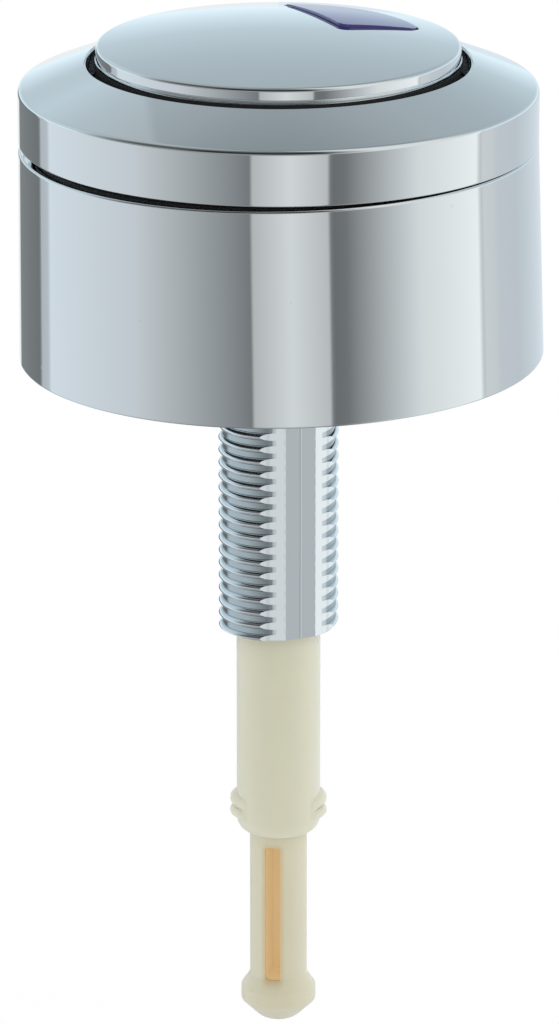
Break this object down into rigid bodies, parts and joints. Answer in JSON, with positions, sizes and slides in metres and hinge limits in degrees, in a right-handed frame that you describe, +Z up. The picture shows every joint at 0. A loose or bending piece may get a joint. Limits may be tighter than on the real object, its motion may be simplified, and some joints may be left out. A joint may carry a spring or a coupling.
{
  "type": "push button cistern actuator",
  "caption": "Raised chrome dual flush push button for a cistern lid: domed disc with a small corner button, spacer collar, hollow threaded stem and nested push rods.",
  "frame": {"origin": "on the stem's axis, level with the cistern lid that the collar stands on", "axes": "+Z up along the stem's axis, -Y towards the stem's flat, +Y along the side edge of the small button's window"},
  "size_m": [0.0691, 0.0691, 0.1388],
  "materials": {
    "chrome": "polished chrome plate",
    "ivory_plastic": "satin moulded",
    "blue_plastic": "glossy",
    "black_plastic": "matte moulded",
    "white_plastic": "matte moulded",
    "spring_steel": "drawn wire"
  },
  "bodies": {
    "housing": {"head_ring": "chrome", "collar": "chrome", "base_cup": "black_plastic", "threaded_stem": "chrome", "full_flush_spring": "spring_steel"},
    "full_flush": {"button_cap": "chrome", "button_carrier": "black_plastic", "full_flush_tube": "ivory_plastic", "half_flush_spring": "spring_steel"},
    "half_flush": {"half_flush_button": "blue_plastic", "half_flush_slider": "white_plastic", "half_flush_rod": "ivory_plastic"}
  },
  "joints": [
    {"name": "full_flush_press", "type": "slide", "parent": "housing", "child": "full_flush", "axis": [0, 0, -1], "range_m": [0, 0.008], "stiffness_N_per_m": 800, "springref_m": -0.006, "deforming": ["full_flush_spring"]},
    {"name": "half_flush_press", "type": "slide", "parent": "full_flush", "child": "half_flush", "axis": [0, 0, -1], "range_m": [0, 0.005], "stiffness_N_per_m": 500, "springref_m": -0.005, "deforming": ["half_flush_spring"]}
  ]
}
